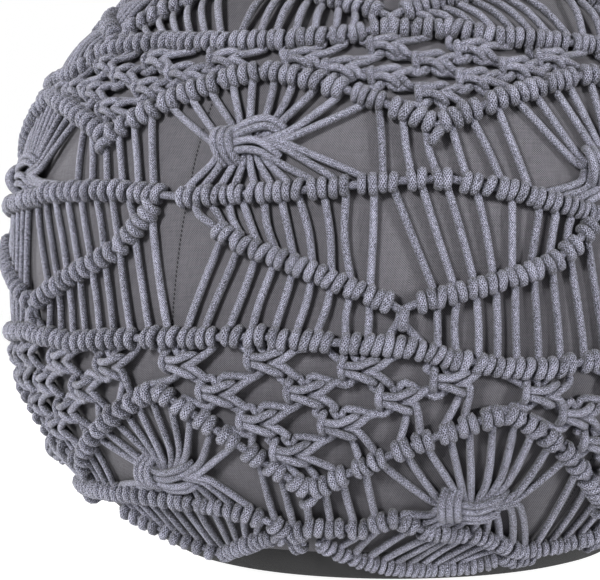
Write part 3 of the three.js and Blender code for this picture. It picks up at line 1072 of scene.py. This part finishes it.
class Shader:
    """The node tree of a material or world, with one method that adds nodes."""

    def __init__(self, owner):
        owner.use_nodes = True
        self.owner = owner
        self.tree = owner.node_tree
        self.tree.nodes.clear()

    def node(self, kind, settings=None, output=0, **sockets):
        node = self.tree.nodes.new(kind)
        for key, value in (settings or {}).items():
            setattr(node, key, value)
        for key, value in sockets.items():
            name = int(key[1:]) if key[1:].isdigit() else key.replace("_", " ")
            if isinstance(value, Value):
                self.tree.links.new(value.socket, node.inputs[name])
            else:
                node.inputs[name].default_value = value
        return Value(self, node.outputs[output])

    def math(self, operation, first, second=0.0):
        return self.node("ShaderNodeMath", {"operation": operation}, _0=first, _1=second)

    def sine(self, value):
        return self.math("SINE", value)

    def highest(self, first, second):
        return self.math("MAXIMUM", first, second)

    def size(self, value):
        return self.math("ABSOLUTE", value)

    def under(self, value, limit):
        """1 where the value is below the limit, and 0 elsewhere."""
        return self.math("LESS_THAN", value, limit)

    def limited(self, value):
        return self.node("ShaderNodeClamp", Value=value)

    def noise(self, where, scale, detail=2.0, roughness=0.5):
        return self.node("ShaderNodeTexNoise", Vector=where, Scale=scale, Detail=detail, Roughness=roughness)

    def blend(self, factor, low, high):
        return self.node("ShaderNodeMix", {"data_type": "RGBA"}, 2, _0=factor, _6=low, _7=high)

    def map(self, name):
        where = self.node("ShaderNodeUVMap", {"uv_map": name})
        across = self.node("ShaderNodeSeparateXYZ", output="X", Vector=where)
        return across, Value(self, across.socket.node.outputs["Y"])

    def attribute(self, name):
        return self.node("ShaderNodeAttribute", {"attribute_name": name}, "Fac")

    def point(self, across, up):
        return self.node("ShaderNodeCombineXYZ", X=across, Y=up)

    def object_place(self):
        return self.node("ShaderNodeTexCoord", output="Object")

    def close(self, colour, roughness, height, distance, strength, sheen, glow=(0, 0, 0, 1)):
        """The finished surface, with a relief of so many metres and a soft sheen."""
        bump = self.node("ShaderNodeBump", Height=height, Distance=distance, Strength=strength)
        surface = self.node(
            "ShaderNodeBsdfPrincipled",
            Base_Color=colour,
            Roughness=roughness,
            Normal=bump,
            Sheen_Weight=sheen,
            Sheen_Roughness=0.6,
            Specular_IOR_Level=0.2,
            Emission_Color=glow,
            Emission_Strength=FLOOR_GLOW,
        )
        return self.put_out("ShaderNodeOutputMaterial", surface)

    def put_out(self, kind, surface):
        output = self.tree.nodes.new(kind)
        self.tree.links.new(surface.socket, output.inputs["Surface"])
        return self.owner


def cotton_cord_material():
    """Braided cotton: two crossing sets of yarns, dark between them, with painted shade where a cord faces
    the cover and painted light where it faces away.
    """
    shader = Shader(bpy.data.materials.new("cotton_cord"))
    run, around = shader.map("cord_map")
    turns = around * (2 * math.pi * BRAID_YARNS)
    climb = run * (2 * math.pi / BRAID_PITCH)
    over = shader.sine(climb + turns)
    under = shader.sine(climb - turns)
    braid = shader.highest(over, under) * 0.5 + 0.5
    yarn = shader.limited((braid - BRAID_DARK) * BRAID_EDGE)
    place = shader.object_place()
    fleck = shader.noise(place, scale=1500, detail=1)
    cloud = shader.noise(place, scale=90)
    mix = yarn * CORD_MIX["yarn"] + (fleck - 0.5) * CORD_MIX["fleck"] + (cloud - 0.5) * CORD_MIX["cloud"]
    # Painted shade and painted light: darker where a cord faces the cover, paler on its outer side.
    mix = mix + shader.attribute("tone") * CORD_MIX["tone"] + shader.attribute("facing_shade") * CORD_MIX["facing_shade"]
    colour = shader.blend(shader.limited(mix - CORD_MIX["less"]), CORD_DARK, CORD_PALE)
    height = yarn * CORD_RELIEF["yarn"] + fleck * CORD_RELIEF["fleck"]
    return shader.close(colour, 0.95, height, distance=0.0007, strength=0.8, sheen=0.2)


def cover_cloth_material():
    """Plain-weave cotton with uneven yarns, and a seam of small stitches at the edges of each gore."""
    shader = Shader(bpy.data.materials.new("cover_cloth"))
    across, up = shader.map("cover_map")
    warp = shader.sine(across * (2 * math.pi / WEAVE_PITCH))
    weft = shader.sine(up * (2 * math.pi / WEAVE_PITCH))
    weave = warp * weft * 0.5 + 0.5
    warp_place = shader.point(across * SLUB_ACROSS, up * SLUB_ALONG)
    weft_place = shader.point(across * SLUB_ALONG, up * SLUB_ACROSS)
    warp_slub = shader.noise(warp_place, scale=1, roughness=0.6)
    slub = warp_slub + shader.noise(weft_place, scale=1, roughness=0.6) - 1
    cloud = shader.noise(shader.object_place(), scale=25)
    seam = 1 / (1 + (across / SEAM_WIDTH) * (across / SEAM_WIDTH))
    thread = shader.under(shader.size(across), STITCH_WIDTH)
    stitch = thread * shader.under(shader.sine(up * (2 * math.pi / STITCH_PITCH)), STITCH_LEVEL)
    mix = weave * CLOTH_MIX["weave"] + slub * CLOTH_MIX["slub"] + (cloud - 0.5) * CLOTH_MIX["cloud"]
    mix = mix - seam * CLOTH_MIX["seam"] - CLOTH_MIX["less"]
    cloth = shader.blend(shader.limited(mix), CLOTH_DARK, CLOTH_PALE)
    sewn = shader.blend(stitch, cloth, STITCH_DARK)
    # The cover is coloured near-black low on its side, up to the height set at the top.
    colour = shader.blend(shader.under(up, DARK_BOTTOM), sewn, BASE_DARK)
    height = weave * CLOTH_RELIEF["weave"] + slub * CLOTH_RELIEF["slub"] - seam * CLOTH_RELIEF["seam"]
    return shader.close(colour, 0.95, height, distance=0.0005, strength=0.7, sheen=0.05)


def grey(level):
    return (level, level, level, 1)


def pale_floor_material():
    shader = Shader(bpy.data.materials.new("pale_floor"))
    place = shader.object_place()
    mottle = shader.noise(place, scale=3)
    tint = shader.blend(mottle, *[grey(level) for level in FLOOR_GREYS])
    away = shader.node("ShaderNodeVectorMath", {"operation": "DISTANCE"}, "Value", _0=place, _1=PATCH_MIDDLE)
    glow = shader.blend(shader.limited((away - PATCH_RADIUS) / PATCH_FADE), grey(0), grey(1))
    return shader.close(tint, 0.9, mottle, distance=0.0001, strength=0.1, sheen=0, glow=glow)


def make_stage():
    floor = bmesh.new()
    bmesh.ops.create_grid(floor, x_segments=1, y_segments=1, size=FLOOR_SIZE)
    mesh = finished_mesh(floor, "floor")
    mesh.materials.append(pale_floor_material())
    stage = add_object("floor", mesh)
    stage.location.z = -FLOOR_DROP
    stage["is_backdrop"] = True


def make_light(name, place, size, power):
    data = bpy.data.lights.new(name, "AREA")
    data.shape = "DISK"
    data.size = size
    data.energy = power
    light = add_object(name, data)
    light.location = place
    direction = np.array(LIGHT_AIM) - np.array(place)
    light.rotation_euler = (
        math.atan2(math.hypot(direction[0], direction[1]), -direction[2]),
        0,
        math.atan2(direction[1], direction[0]) - math.pi / 2,
    )


def make_studio():
    """White all round at the height of the pouf, dark overhead, and a few soft lights."""
    world = bpy.data.worlds.new("studio")
    shader = Shader(world)
    direction = shader.node("ShaderNodeTexCoord", output="Generated")
    height = shader.node("ShaderNodeSeparateXYZ", output="Z", Vector=direction)
    colour = shader.blend(shader.limited((GLOW_TOP - height) / GLOW_FADE), grey(OVERHEAD), grey(1))
    shader.put_out("ShaderNodeOutputWorld", shader.node("ShaderNodeBackground", Color=colour))
    bpy.context.scene.world = world
    for name, facts in LIGHTS.items():
        make_light(name, **facts)
    bpy.context.scene.view_settings.view_transform = "Standard"


def make_camera():
    data = bpy.data.cameras.new("camera")
    data.sensor_width = SENSOR_WIDTH
    data.lens = SENSOR_WIDTH * FOCAL_PIXELS / IMAGE_WIDTH
    data.shift_x = (IMAGE_WIDTH / 2 - AXIS_PIXEL[0]) / IMAGE_WIDTH
    data.shift_y = (AXIS_PIXEL[1] - IMAGE_HEIGHT / 2) / IMAGE_WIDTH
    camera = add_object("camera", data)
    camera.location = (0, -CAMERA_AWAY * MM, CAMERA_HEIGHT * MM)
    camera.rotation_euler = (math.pi / 2, 0, 0)
    bpy.context.scene.camera = camera


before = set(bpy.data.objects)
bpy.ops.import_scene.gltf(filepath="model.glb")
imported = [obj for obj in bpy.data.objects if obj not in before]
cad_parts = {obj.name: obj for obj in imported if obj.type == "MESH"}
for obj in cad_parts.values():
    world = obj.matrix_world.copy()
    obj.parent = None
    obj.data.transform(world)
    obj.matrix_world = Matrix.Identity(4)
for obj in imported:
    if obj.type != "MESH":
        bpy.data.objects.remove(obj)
cad_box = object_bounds()
RANDOM = np.random.default_rng(SEED)
_, high_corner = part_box("cushion")
COVER = Cover(high_corner.x / MM, CUSHION_MIDDLE, high_corner.z / MM - CUSHION_MIDDLE)
LINES = []

make_camera()
make_net(cotton_cord_material())
make_cushion(cover_cloth_material())
make_stage()
make_studio()

boxes = {"cad": cad_box, "visual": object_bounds()}
{name: [list(corner) for corner in box] for name, box in boxes.items()}
